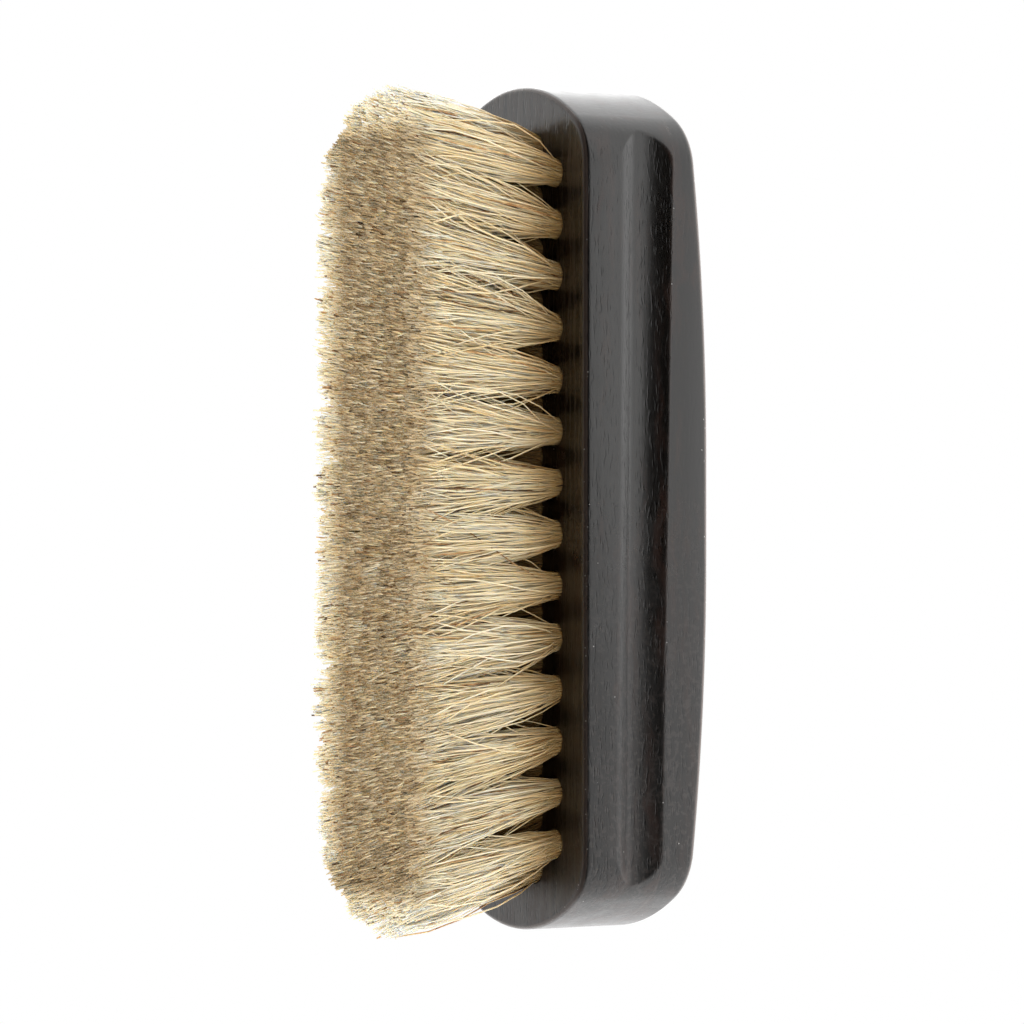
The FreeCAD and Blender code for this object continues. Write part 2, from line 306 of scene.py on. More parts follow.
@dataclass(frozen=True)
class StainedWood:
    """Near-black stain on close-grained wood under a satin finish, more worn towards -X, with pale lines on
    the drilled face that are partly grain and partly painted light.
    """

    dark: Colour = (0.0070, 0.0056, 0.0044)
    pore: Colour = (0.0020, 0.0017, 0.0014)
    streak: Colour = (0.030, 0.0140, 0.0090)
    bare: Colour = (0.115, 0.088, 0.076)
    # Pale lines on the drilled face: partly real grain, partly painted light standing in for light falling
    # on the face.
    thin: Colour = (0.054, 0.045, 0.038)
    dust: Colour = (0.42, 0.41, 0.39)
    pores: Grain = Grain(400.0, 2000.0, 0.0012)
    pore_span: Span = (0.30, 0.46)
    pore_share: float = 0.85
    lines: Grain = Grain(34.0, 1100.0, 0.0016)
    line_share: float = 0.5
    line_span: Span = (0.32, 0.58)
    relief: float = 0.00005
    relief_span: Span = (0.55, 1.0)
    face_relief: float = 0.6
    scuff: Colour = (0.050, 0.040, 0.036)
    scuffs: Mottle = Mottle(1100.0, 4.0)
    scuff_span: Span = (0.48, 0.66)
    scuff_share: float = 0.7
    streaks: Grain = Grain(24.0, 300.0, 0.004, 3.0)
    streak_span: Span = (0.50, 0.74)
    blotches: Mottle = Mottle(260.0, 4.0)
    face_span: Span = (0.0270, 0.0277)
    bare_span: Span = (0.30, 0.90)
    bare_share: float = 0.6
    worn_span: Span = (0.03, -0.07)
    worn_share: float = 0.45
    worn_streak: float = 0.08
    worn_pores: float = 0.5
    streak_wear: float = 0.3
    blotch_wear: float = 0.4
    wear_span: Span = (0.15, 1.00)
    dust_spacing: float = 0.0036
    dust_share: Span = (0.12, 0.42)
    chip_spacing: float = 0.0012
    chip_share: float = 0.6
    speck_radius: float = 0.00017
    gloss: Span = (0.18, 0.44)
    refraction: float = 1.55

    def make(self, effects: SurfaceEffects) -> Material:
        """Make the material.

        Args:
            effects: The shared effects.

        Returns:
            The stained wood.
        """
        material, desk, shader = new_finish(Slot.STAINED_WOOD.value)
        place = desk.place()
        axes = desk.axes(place)
        worn = desk.spread(axes.outputs["X"], self.worn_span)
        on_face = desk.spread(axes.outputs["Z"], self.face_span)
        marks = (self.pores, self.lines, self.streaks, self.blotches, self.scuffs)
        pores, lines, streaks, blotches, scuffs = (mark.draw(desk, place, effects) for mark in marks)

        # Pale lines on the drilled face, partly grain and partly painted light.
        face_line_and_painted_light = desk.math("MULTIPLY", on_face, desk.spread(lines, self.line_span))
        stain = desk.mix(face_line_and_painted_light, self.dark, self.thin)
        reddish = desk.math("MULTIPLY_ADD", worn, self.worn_streak, streaks)
        stain = desk.mix(desk.spread(reddish, self.streak_span), stain, self.streak)
        in_pore = desk.spread(pores, self.pore_span, (self.pore_share, 0.0))
        bareness = desk.math("MULTIPLY_ADD", worn, self.worn_pores, self.worn_pores)
        stain = desk.mix(desk.math("MULTIPLY", in_pore, bareness), stain, self.pore)
        scuffed = desk.math("MULTIPLY", worn, desk.spread(scuffs, self.scuff_span, (0.0, self.scuff_share)))
        stain = desk.mix(scuffed, stain, self.scuff)
        arris = desk.attribute("wear")
        rubbed = desk.math("MULTIPLY", arris, desk.math("ADD", blotches, self.bare_share))
        stain = desk.mix(desk.spread(rubbed, self.bare_span), stain, self.bare)
        chips = self.specks(desk, place, self.chip_spacing, desk.math("MULTIPLY", arris, self.chip_share))
        few, many = self.dust_share
        dust = self.specks(desk, place, self.dust_spacing, desk.math("MULTIPLY_ADD", worn, many - few, few))
        stain = desk.mix(desk.math("MAXIMUM", chips, dust), stain, self.dust)

        wear = desk.math("MULTIPLY", worn, self.worn_share)
        wear = desk.math("MULTIPLY_ADD", blotches, self.blotch_wear, wear)
        wear = desk.math("MULTIPLY_ADD", streaks, self.streak_wear, wear)
        relief = desk.spread(pores, self.pore_span, (0.0, 1.0 - self.line_share))
        relief = desk.math("MULTIPLY_ADD", lines, self.line_share, relief)
        start, end = self.relief_span
        depth = desk.math("MULTIPLY_ADD", worn, end - start, start)
        depth = desk.math("MULTIPLY_ADD", on_face, self.face_relief, depth)
        height = desk.math("MULTIPLY", relief, depth)
        bump = desk.add("ShaderNodeBump", {"Distance": self.relief, "Height": height})
        desk.feed_all(shader, {
            "Base Color": stain,
            "Roughness": desk.spread(wear, self.wear_span, self.gloss),
            "IOR": self.refraction,
            "Normal": bump.outputs["Normal"],
        })
        return material

    def specks(self, desk: NodeDesk, place: Socket, spacing: float, share: Socket) -> Socket:
        """Scatter pale specks.

        Args:
            desk: The material's desk.
            place: The place on the piece.
            spacing: How far apart they could be.
            share: How many of them there are.

        Returns:
            A mask that is 1 on a speck.
        """
        cells = desk.add("ShaderNodeTexVoronoi", {"Vector": place, "Scale": 1.0 / spacing})
        radius = self.speck_radius / spacing
        near = desk.spread(cells.outputs["Distance"], (radius / 2, radius), (1.0, 0.0))
        kept = desk.math("LESS_THAN", cells.outputs["Color"], share)
        return desk.math("MULTIPLY", near, kept)


@dataclass(frozen=True)
class BristleHair:
    """Pale hair in many tones, each hair with its own, with painted shade along it: darker towards the root
    and at the tip.
    """

    tones: Stops = (
        (0.00, (0.060, 0.034, 0.018)),
        (0.04, (0.340, 0.190, 0.085)),
        (0.10, (0.665, 0.472, 0.245)),
        (0.27, (0.733, 0.560, 0.332)),
        (0.53, (0.786, 0.629, 0.409)),
        (0.85, (0.824, 0.702, 0.513)),
        (1.00, (0.885, 0.825, 0.690)),
    )
    root_powers: Colour = (0.84, 1.0, 1.32)
    tip_powers: Colour = (0.94, 1.0, 1.16)
    flecks: Mottle = Mottle(420.0, 2.0)
    fleck_drift: float = 0.22
    fleck_span: Span = (0.3, 0.7)
    # Painted shade along a hair: dark near the root, standing in for the shade between tufts, and dark at
    # the tip, standing in for less light on the tip face.
    shades: Steps = (
        (0.12, 0.10), (0.18, 0.20), (0.25, 0.38), (0.33, 0.58), (0.42, 0.80), (0.56, 1.00), (0.88, 1.00),
        (1.00, 0.19),
    )
    gloss: Span = (0.50, 0.66)
    refraction: float = 1.5
    shine: float = 0.15
    glow_through: float = 0.8
    glow_reach: Colour = (1.0, 0.75, 0.5)
    glow_depth: float = 0.0005

    def make(self, effects: SurfaceEffects) -> Material:
        """Make the material.

        Args:
            effects: The shared effects.

        Returns:
            The bristle hair.
        """
        material, desk, shader = new_finish("bristle_hair")
        flecks = self.flecks.draw(desk, desk.place(), effects)
        drift = desk.math("MULTIPLY_ADD", flecks, self.fleck_drift, -self.fleck_drift / 2)
        # The attribute carries each hair's own colour plus painted light on tips near the edges.
        tone = desk.ramp(desk.math("ADD", desk.attribute("tone"), drift), self.tones)
        # Painted shade: the along attribute gives each point's place on the shade ramp.
        shade = desk.ramp(desk.attribute("along"), self.warm_shades())
        desk.feed_all(shader, {
            "Base Color": desk.vector("MULTIPLY", tone, shade),
            "Roughness": desk.spread(flecks, self.fleck_span, self.gloss),
            "IOR": self.refraction,
            "Specular IOR Level": self.shine,
            "Subsurface Weight": self.glow_through,
            "Subsurface Radius": self.glow_reach,
            "Subsurface Scale": self.glow_depth,
        })
        return material

    def warm_shades(self) -> Stops:
        """Tint the painted shades along a hair, more where they are deeper.

        Returns:
            Stops from the root, where the tint is warmer, to the tip.
        """
        middle = len(self.shades) // 2
        tints = [self.root_powers] * middle + [self.tip_powers] * (len(self.shades) - middle)
        return tuple((place, tuple(level ** power for power in tint))
                     for (place, level), tint in zip(self.shades, tints))


@dataclass(frozen=True)
class AnchorSteel:
    """Drawn flat wire."""

    pale: Colour = (0.56, 0.55, 0.53)
    deep: Colour = (0.38, 0.37, 0.36)
    lines: Grain = Grain(300.0, 9000.0)
    line_span: Span = (0.3, 0.7)
    stains: Mottle = Mottle(600.0, 3.0)
    stain_span: Span = (0.4, 0.7)
    gloss: Span = (0.28, 0.46)

    def make(self, effects: SurfaceEffects) -> Material:
        """Make the material.

        Args:
            effects: The shared effects.

        Returns:
            The wire's steel.
        """
        material, desk, shader = new_finish(Slot.ANCHOR_WIRE.value)
        place = desk.place()
        lines = self.lines.draw(desk, place, effects)
        stains = self.stains.draw(desk, place, effects)
        desk.feed_all(shader, {
            "Base Color": desk.mix(desk.spread(stains, self.stain_span), self.pale, self.deep),
            "Roughness": desk.spread(lines, self.line_span, self.gloss),
            "Metallic": 1.0,
        })
        return material


@dataclass(frozen=True)
class StudioPaper:
    """Plain white paper on a light table, which lights less, and is darker, towards the camera."""

    pale: Colour = (0.90, 0.90, 0.90)
    soft: Colour = (0.87, 0.87, 0.87)
    clouds: Mottle = Mottle(14.0, 3.0)
    cloud_span: Span = (0.3, 0.7)
    dull: Span = (0.80, 0.90)
    shine: float = 0.1
    glow: float = 3.05
    glow_span: Span = (-0.5, 0.1)
    glow_steps: Steps = (
        (-0.12, 0.0), (-0.09, 0.03), (-0.08, 0.12), (-0.072, 0.40), (-0.065, 0.56), (-0.052, 0.60),
        (-0.044, 0.49), (-0.034, 0.49), (-0.028, 0.64), (0.03, 0.82),
    )
    front_span: Span = (-0.11, -0.07)
    front_share: float = 0.10
    length_span: Span = (-0.15, 0.15)
    length_steps: Steps = (
        (-0.13, 0.68), (-0.075, 1.0), (-0.03, 0.97), (0.02, 1.0), (0.06, 1.0), (0.10, 0.88), (0.14, 0.60),
    )

    def make(self, effects: SurfaceEffects) -> Material:
        """Make the material.

        Args:
            effects: The shared effects.

        Returns:
            The paper.
        """
        material, desk, shader = new_finish("studio_paper")
        place = desk.place()
        cloud = self.clouds.draw(desk, place, effects)
        axes = desk.axes(place)
        front = desk.spread(axes.outputs["Y"], self.front_span, (self.front_share, 1.0))
        across = self.levels(desk, axes.outputs["Y"], self.glow_span, self.glow_steps)
        along = self.levels(desk, axes.outputs["X"], self.length_span, self.length_steps)
        desk.feed_all(shader, {
            "Base Color": desk.vector("SCALE", desk.mix(cloud, self.pale, self.soft), front),
            "Roughness": desk.spread(cloud, self.cloud_span, self.dull),
            "Specular IOR Level": self.shine,
            "Emission Color": desk.vector("MULTIPLY", across, along),
            "Emission Strength": self.glow,
        })
        looked_at = desk.add("ShaderNodeLightPath").outputs["Is Camera Ray"]
        seen = desk.add("ShaderNodeMixShader", {"Fac": looked_at})
        desk.feed(seen.inputs[1], shader.outputs["BSDF"])
        desk.feed(seen.inputs[2], desk.add("ShaderNodeEmission").outputs["Emission"])
        desk.feed(material.node_tree.nodes["Material Output"].inputs["Surface"], seen.outputs["Shader"])
        return material

    @staticmethod
    def levels(desk: NodeDesk, value: Socket, span: Span, steps: Steps) -> Socket:
        """Look up a level of grey along one axis.

        Args:
            desk: The material's desk.
            value: The place on the axis.
            span: Where the steps' range starts and ends.
            steps: Places with their levels.

        Returns:
            The level, as a grey.
        """
        start, end = span
        share = desk.math("DIVIDE", desk.math("SUBTRACT", value, start), end - start)
        greys = tuple(((place - start) / (end - start), (level, level, level)) for place, level in steps)
        return desk.ramp(share, greys)


def deselect_all() -> None:
    """Leave no object selected, in object mode."""
    if bpy.context.object and bpy.context.object.mode != "OBJECT":
        bpy.ops.object.mode_set(mode="OBJECT")
    bpy.ops.object.select_all(action="DESELECT")


def put_on(piece: Piece, material: Material) -> None:
    """Give a piece one material."""
    piece.data.materials.clear()
    piece.data.materials.append(material)


@dataclass
class Block:
    """The wooden block: plan with round ends, crowned back, finger grooves and drilled holes."""

    length: float = 0.160
    width: float = 0.050
    height: float = 0.0278
    end_bulge: float = 0.010
    corner_radius: float = 0.0105
    back_land: float = 0.018
    back_radius: float = 0.530
    face_round: float = 0.0011
    back_round: float = 0.0015
    groove_offset: float = 0.0072
    groove_width: float = 0.0113
    groove_tilts: Steps = (
        (0.00, 0.0), (0.03, -8.0), (0.10, -18.0), (0.16, -23.0), (0.29, -23.0), (0.40, -2.0), (0.45, 7.0),
        (0.60, 13.0), (0.75, 19.0), (0.98, 25.0),
    )
    tilt_steps: int = 5
    soft_slip: float = 0.00036
    lip_slip: float = 0.0015
    lip_round: float = 0.0002
    flat_hem: float = 0.0003
    hole_radius: float = 0.00285
    hole_depth: float = 0.013
    hole_sides: int = 28
    rim_chamfer: float = 0.00022
    smooth_angle: float = 25.0
    lip_wear: float = 0.4
    wear_power: float = 1.5
    end_steps: int = 20
    corner_steps: int = 32
    side_steps: int = 40
    round_steps: int = 7
    flank_shares: Span = (0.5, 0.94)
    level_slack: float = 1e-7

    def quarter(self) -> tuple[Array, Array]:
        """Trace the plan from the middle of the +X end to the middle of the +Y side.

        Returns:
            Points and their outward normals.
        """
        half_width = self.width / 2
        end_radius = (self.end_bulge ** 2 + half_width ** 2) / (2 * self.end_bulge)
        end_centre = self.length / 2 - end_radius
        corner_y = half_width - self.corner_radius
        corner_x = end_centre + math.sqrt((end_radius - self.corner_radius) ** 2 - corner_y ** 2)
        turn = math.atan2(corner_y, corner_x - end_centre)
        end = np.linspace(0, turn, self.end_steps, endpoint=False)
        corner = np.linspace(turn, math.pi / 2, self.corner_steps, endpoint=False)
        side = np.linspace(corner_x, 0, self.side_steps)
        angles = np.concatenate([end, corner, np.full(len(side), math.pi / 2)])
        normals = np.stack([np.cos(angles), np.sin(angles)], axis=1)
        points = np.concatenate([
            np.stack([end_centre + end_radius * np.cos(end), end_radius * np.sin(end)], axis=1),
            np.stack([corner_x + self.corner_radius * np.cos(corner),
                      corner_y + self.corner_radius * np.sin(corner)], axis=1),
            np.stack([side, np.full(len(side), half_width)], axis=1),
        ])
        return points, normals

    def outline(self) -> tuple[Array, Array]:
        """Trace the whole plan, anticlockwise from the middle of the +X end.

        Returns:
            Points and their outward normals.
        """
        found = []
        for part in self.quarter():
            first = part[:-1]
            second = part[:0:-1] * (-1, 1)
            found.append(np.concatenate([first, second, -first, -second]))
        return found[0], found[1]

    def crown(self, x: Array) -> Array:
        """Give the height of the back above the floor at places along the block."""
        past_land = np.maximum(np.abs(x) - self.back_land / 2, 0)
        return self.back_radius - np.sqrt(self.back_radius ** 2 - past_land ** 2)

    def side_profile(self) -> list[tuple[float, float]]:
        """Trace a long side downwards from the face's rim to just under the groove's lip.

        Returns:
            Heights, each with its depth into the side.
        """
        soft = self.height - self.groove_offset
        lip = soft - self.groove_width
        rim = self.height - self.face_round
        places, tilts = zip(*self.groove_tilts)
        shares = np.concatenate([np.linspace(start, end, self.tilt_steps, endpoint=False)
                                 for start, end in zip(places[:-1], places[1:])] + [places[-1:]])
        slopes = -np.tan(np.radians(np.interp(shares, places, tilts)))
        steps = np.diff(shares) * (slopes[1:] + slopes[:-1]) / 2
        depths = np.append(0, np.cumsum(steps)) * self.groove_width
        depths -= shares / shares[-1] * (depths[-1] - self.lip_round / 2)
        rows = [(rim - self.flat_hem, 0.0), ((rim + soft) / 2, 0.0)]
        rows += [(soft - share * self.groove_width, depth) for share, depth in zip(shares, depths)]
        return rows + [(lip - self.lip_round, 0.0), (lip - self.lip_round - self.flat_hem, 0.0)]

    def wall(self) -> tuple[Array, list[float]]:
        """Lay out the block's wall as rings, from the drilled face down to the back.

        Returns:
            Points by ring and by place round the plan, and how worn each ring is.
        """
        points, normals = self.outline()
        x = points[:, 0]
        back = self.crown(x)
        rings = []
        wear = []

        def add(inset: float, z: Array, depth: float = 0.0, worn: float = 0.0) -> None:
            """Add a ring.

            Args:
                inset: How far in from the plan.
                z: Height of each point.
                depth: How deep the groove is there.
                worn: How worn the wood is there, from 0 to 1.
            """
            flat = points - inset * normals
            limit = self.width / 2 - depth
            y = np.clip(flat[:, 1], -limit, limit)
            rings.append(np.stack([flat[:, 0], y, np.broadcast_to(z, y.shape)], axis=1))
            wear.append(worn)

        add(self.face_round + self.flat_hem, np.float64(self.height))
        turns = np.linspace(0, math.pi / 2, self.round_steps)
        for angle in turns:
            drop = self.face_round * (1 - math.cos(angle))
            add(self.face_round * (1 - math.sin(angle)), np.float64(self.height - drop),
                worn=math.sin(2 * angle) ** self.wear_power)
        soft = self.height - self.groove_offset
        lip = soft - self.groove_width
        last = x
        for z, depth in self.side_profile():
            slip = np.interp(z, (lip, soft, self.height), (self.lip_slip, self.soft_slip, 0.0))
            last = z - slip * x / (self.length / 2)
            add(0.0, last, depth, float(abs(z - lip) < 2 * self.lip_round) * self.lip_wear)
        round_top = back + self.back_round
        for share in self.flank_shares:
            add(0.0, last + (round_top - last) * share)
        for angle in turns:
            add(self.back_round * (1 - math.cos(angle)), back + self.back_round * (1 - math.sin(angle)),
                worn=math.sin(2 * angle))
        add(self.back_round + self.flat_hem, back)
        return np.array(rings), wear

    def build(self, mouths: Array, axes: Array) -> Piece:
        """Model the block.

        Args:
            mouths: Centres of the hole mouths on the drilled face.
            axes: Directions along the holes, outwards.

        Returns:
            The block.
        """
        deselect_all()
        rings, wear = self.wall()
        count = rings.shape[1]
        bpy.ops.mesh.primitive_cylinder_add(vertices=count, radius=1.0, depth=1.0, end_fill_type="NOTHING",
                                            location=(0, 0, 0))
        block = bpy.context.object
        block.name = "block_wood"
        block.data.name = "block_wood"
        bpy.ops.object.mode_set(mode="EDIT")
        mesh = bmesh.from_edit_mesh(block.data)
        mesh.verts.layers.float.new("wear")
        for edge in mesh.edges:
            edge.select_set(abs(edge.verts[0].co.z - edge.verts[1].co.z) > HALF_UNIT)
        bpy.ops.mesh.subdivide(number_cuts=len(rings) - 2)
        self.shape_wall(bmesh.from_edit_mesh(block.data), rings, wear)
        bmesh.update_edit_mesh(block.data)
        for mouth, axis in zip(mouths, axes):
            self.drill(mouth, axis)
        self.close_face(block)
        bpy.ops.mesh.select_all(action="SELECT")
        bpy.ops.mesh.normals_make_consistent(inside=False)
        bpy.ops.object.mode_set(mode="OBJECT")
        bpy.ops.object.shade_smooth_by_angle(angle=math.radians(self.smooth_angle))
        return block

    def shape_wall(self, mesh: bmesh.types.BMesh, rings: Array, wear: list[float]) -> None:
        """Bring a ringed tube of unit size to the block's shape, and close its back.

        Args:
            mesh: The tube, in edit mode.
            rings: The block's wall, from the top ring down.
            wear: How worn each ring is.
        """
        layer = mesh.verts.layers.float["wear"]
        last, count = rings.shape[0] - 1, rings.shape[1]
        bottom: dict[int, bmesh.types.BMVert] = {}
        for vertex in mesh.verts:
            place = round(math.atan2(vertex.co.y, vertex.co.x) / (2 * math.pi) * count) % count
            ring = round((HALF_UNIT - vertex.co.z) * last)
            vertex.co = rings[ring, place]
            vertex[layer] = wear[ring]
            if ring == last:
                bottom[place] = vertex
        for place in range(count // 2):
            corners = [bottom[place], bottom[place + 1], bottom[(count - place - 1) % count],
                       bottom[(count - place) % count]]
            mesh.faces.new(list(dict.fromkeys(corners)))

    def drill(self, mouth: Array, axis: Array) -> None:
        """Add a chamfered blind hole, whose mouth is left for the face to meet.

        Args:
            mouth: Centre of the mouth.
            axis: Direction along the hole, outwards.
        """
        rim_radius = self.hole_radius + self.rim_chamfer
        shrink = self.hole_radius / rim_radius
        bpy.ops.mesh.primitive_circle_add(vertices=self.hole_sides, radius=rim_radius, location=tuple(mouth))
        bpy.ops.mesh.extrude_region_move(TRANSFORM_OT_translate={"value": tuple(-axis * self.rim_chamfer)})
        bpy.ops.transform.resize(value=(shrink, shrink, 1),
                                 center_override=tuple(mouth - axis * self.rim_chamfer))
        bpy.ops.mesh.extrude_region_move(TRANSFORM_OT_translate={"value": tuple(-axis * self.hole_depth)})
        bpy.ops.mesh.edge_face_add()

    def close_face(self, block: Piece) -> None:
        """Fill the drilled face between its rim and the holes.

        Args:
            block: The block, in edit mode.
        """
        bpy.ops.mesh.select_all(action="DESELECT")
        mesh = bmesh.from_edit_mesh(block.data)
        for edge in mesh.edges:
            level = all(abs(vertex.co.z - self.height) < self.level_slack for vertex in edge.verts)
            edge.select_set(level and edge.is_boundary)
        bmesh.update_edit_mesh(block.data)
        bpy.ops.mesh.fill(use_beauty=True)

    def dress(self, block: Piece, material: Material) -> None:
        """Finish the block and put it in the frame.

        Args:
            block: The modelled block.
            material: Its finish.
        """
        put_on(block, material)
        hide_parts("block")
        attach(block, BODY)


@dataclass(frozen=True)
class HairPattern:
    """The mesh of one straight hair of unit length and thickness."""

    across: Array
    along: Array
    corners: Array
    sizes: Array


@dataclass
class HairStock:
    """One hair, modelled once, that is bent into every hair of the brush."""

    sides: int = 3
    tip_share: float = 0.85
    cuts: tuple[float, ...] = (0.14, 0.28, 0.44, 0.62, 0.81)

    def build(self) -> HairPattern:
        """Model the hair and read its mesh.

        Returns:
            The hair's pattern.
        """
        deselect_all()
        bpy.ops.mesh.primitive_cone_add(vertices=self.sides, radius1=1.0, radius2=self.tip_share, depth=1.0,
                                        end_fill_type="NGON", location=(0, 0, HALF_UNIT))
        hair = bpy.context.object
        bpy.ops.object.mode_set(mode="EDIT")
        for cut in self.cuts:
            bpy.ops.mesh.select_all(action="SELECT")
            bpy.ops.mesh.bisect(plane_co=(0, 0, cut), plane_no=(0, 0, 1))
        bpy.ops.object.mode_set(mode="OBJECT")
        place = np.array([vertex.co + hair.location for vertex in hair.data.vertices])
        corners = np.array([index for face in hair.data.polygons for index in face.vertices])
        sizes = np.array([len(face.vertices) for face in hair.data.polygons])
        bpy.data.objects.remove(hair)
        return HairPattern(place[:, :2], place[:, 2], corners, sizes)


@dataclass
class Hairs:
    """Centre lines and looks of a number of hairs, with painted light and shade."""

    lines: Array
    radius: Array
    turn: Array
    tone: Array
    shade: Array


@dataclass
class TuftField:
    """The bristle tufts, set in staggered rows and fanned out from one far point."""

    block_height: float = 0.0278
    fan_distance: float = 0.284
    tuft_pitch: float = 0.0097
    row_pitch: float = 0.0071
    row_count: int = 5
    long_row_tufts: int = 15
    trim_height: float = 0.059
    root_radius: float = 0.0025
    tip_radius: float = 0.0055
    radius_spread: Span = (0.95, 1.05)
    sunk: float = 0.005
    hairs_per_tuft: int = 620
    locks_per_tuft: int = 20
    lock_pull: float = 0.55
    tuft_lean: float = 0.012
    lock_lean_share: float = 0.22
    tip_scatter_share: float = 0.21
    hair_radius: float = 0.00019
    thickness_shares: Span = (0.70, 1.20)
    hair_bow: float = 0.00055
    lock_bow: float = 0.00030
    hair_wave: float = 0.0004
    stray_share: float = 0.03
    stray_reach: float = 0.0035
    stray_bow: float = 0.0016
    trim_scatter: float = 0.00045
    lock_scatter: float = 0.0005
    valley_drop: float = 0.0012
    tapered_share: float = 0.18
    tapered_drop: float = 0.006
    proud_share: float = 0.12
    proud_rise: Span = (0.0003, 0.0013)
    proud_limit: float = 0.0019
    hair_tones: float = 0.49
    lock_tones: float = 0.36
    # Painted light: how much paler the colour of tips near the edges is made.
    edge_painted_light_tone: float = 2.2
    dark_share: float = 0.065
    dark_tone: float = 0.10
    # Painted shade on inner tufts, darker further up from the root.
    inner_painted_shade: float = 1.3
    # Painted light on proud tips and painted shade on sunken ones, across this drop.
    proud_drop: float = 0.0014
    proud_painted_light: float = 0.018
    # Painted light on tips near the edges, standing in for light that comes through the hair.
    edge_painted_light: Span = (0.036, 0.16)
    end_painted_light: float = 0.24
    edge_width: float = 0.0095
    wild_share: float = 0.004
    wild_reach: float = 0.006
    wild_bow: float = 0.0022
    tip_middle: float = -0.0008
    tip_half_length: float = 0.0792
    tip_half_width: float = 0.0202
    tip_corner: float = 0.0195
    far_taper: float = 0.10
    tip_slack: float = 0.0005
    tip_pull: float = 0.85
    inner_shares: Span = (0.75, 0.5)
    seed: int = 41

    def stations(self) -> list[Array]:
        """Lay out the hole mouths as cross rows from -X to +X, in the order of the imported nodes.

        Returns:
            Mouth centres of each cross row.
        """
        found: list[list[tuple[float, float, float]]] = [[] for _ in range(2 * self.long_row_tufts - 1)]
        for row in range(self.row_count):
            short = 1 - row % 2
            count = self.long_row_tufts - short
            y = (row - (self.row_count - 1) / 2) * self.row_pitch
            for place in range(count):
                x = (place - (count - 1) / 2) * self.tuft_pitch
                found[2 * place + short].append((x, y, self.block_height))
        return [np.array(mouths) for mouths in found]

    def axes(self, mouths: Array) -> Array:
        """Give unit vectors along tufts, away from the point where the drilling lines meet."""
        away = mouths - (0, 0, self.block_height - self.fan_distance)
        return away / np.linalg.norm(away, axis=1, keepdims=True)

    def grow(self, mouth: Array, along: Array, dice: Dice) -> Hairs:
        """Grow the hairs of one tuft.

        Args:
            mouth: The tuft's hole mouth.
            along: Shares of a hair's length at which its line is wanted.
            dice: Source of chance.

        Returns:
            The tuft's hairs.
        """
        count = self.hairs_per_tuft
        axis = self.axes(mouth[None])[0] + np.append(dice.normal(0, self.tuft_lean, 2), 0)
        axis /= np.linalg.norm(axis)
        side = np.cross((0, 1, 0), axis)
        side /= np.linalg.norm(side)
        frame = np.stack([side, np.cross(axis, side)])
        root = self.disc(count, dice)
        locks = self.disc(self.locks_per_tuft, dice)
        lock = np.argmin(((root[:, None] - locks[None]) ** 2).sum(2), axis=1)
        stray = self.some(count, self.stray_share, dice)
        wild = self.some(count, self.wild_share, dice)

        lean = dice.normal(0, self.lock_lean_share, (self.locks_per_tuft, 2))[lock]
        lean += dice.normal(0, self.tip_scatter_share, (count, 2)) * dice.exponential(1.0, (count, 1))
        tip = (root + (locks[lock] - root) * self.lock_pull + lean) * self.tip_radius
        tip *= dice.uniform(*self.radius_spread)
        tip[stray] += dice.normal(0, self.stray_reach, (stray.sum(), 2))
        tip[wild] += dice.normal(0, self.wild_reach, (wild.sum(), 2))
        bow = dice.normal(0, self.hair_bow, (count, 2))
        bow += dice.normal(0, self.lock_bow, (self.locks_per_tuft, 2))[lock]
        bow[stray] += dice.normal(0, self.stray_bow, (stray.sum(), 2))
        bow[wild] += dice.normal(0, self.wild_bow, (wild.sum(), 2))
        wave = dice.normal(0, self.hair_wave, (count, 2))

        drop = self.shortfall(self.valley(tip, mouth), dice)
        drop += dice.normal(0, self.lock_scatter, self.locks_per_tuft)[lock]
        drop = np.maximum(drop, -self.proud_limit)
        rise = self.trim_height - self.block_height - drop
        root *= self.root_radius
        reach = (rise - tip @ frame[:, 2]) / axis[2]
        tip_place = (mouth + tip @ frame + reach[:, None] * axis)[:, :2]
        held_place = self.hold_in(tip_place, dice)
        tip += held_place - tip_place
        reach = (rise - tip @ frame[:, 2]) / axis[2]

        height = -self.sunk + along[None] * (reach[:, None] + self.sunk)
        share = np.clip(height / reach[:, None], 0, 1)
        offset = root[:, None] + (tip - root)[:, None] * share[..., None]
        offset += bow[:, None] * (4 * share * (1 - share))[..., None]
        offset += wave[:, None] * np.sin(2 * math.pi * share)[..., None]
        lines = mouth + offset @ frame + height[..., None] * axis
        # Painted light: tips near the edges get a paler colour and a lighter place on the shade ramp.
        pale = self.edge(held_place)
        tone = dice.uniform(0, self.hair_tones, count)
        tone += dice.uniform(0, self.lock_tones, self.locks_per_tuft)[lock] + pale * self.edge_painted_light_tone
        dark = self.some(count, self.dark_share, dice)
        tone[dark] = dice.uniform(0, self.dark_tone, dark.sum())
        radius = self.hair_radius * dice.uniform(*self.thickness_shares, count)
        # Painted light on tips that stand proud, painted shade on sunken ones.
        pale += np.interp(drop, (-self.proud_drop, self.proud_drop), (self.proud_painted_light, 0))
        # Painted shade: inner tufts darker further up from the root, standing in for the shade between
        # tufts.
        depth = self.inner_painted_shade * (1 - along) if self.is_inner(mouth) else np.zeros_like(along)
        shade = np.maximum(along * (1 - pale[:, None]) - depth, 0)
        return Hairs(lines, radius, dice.uniform(0, 2 * math.pi, count), tone, shade)

    def is_inner(self, mouth: Array) -> bool:
        """Tell whether other tufts stand all round a tuft."""
        last = np.array([self.long_row_tufts - 1, self.row_count - 1]) / 2 - self.inner_shares
        return bool((np.abs(mouth[:2]) < last * (self.tuft_pitch, self.row_pitch)).all())

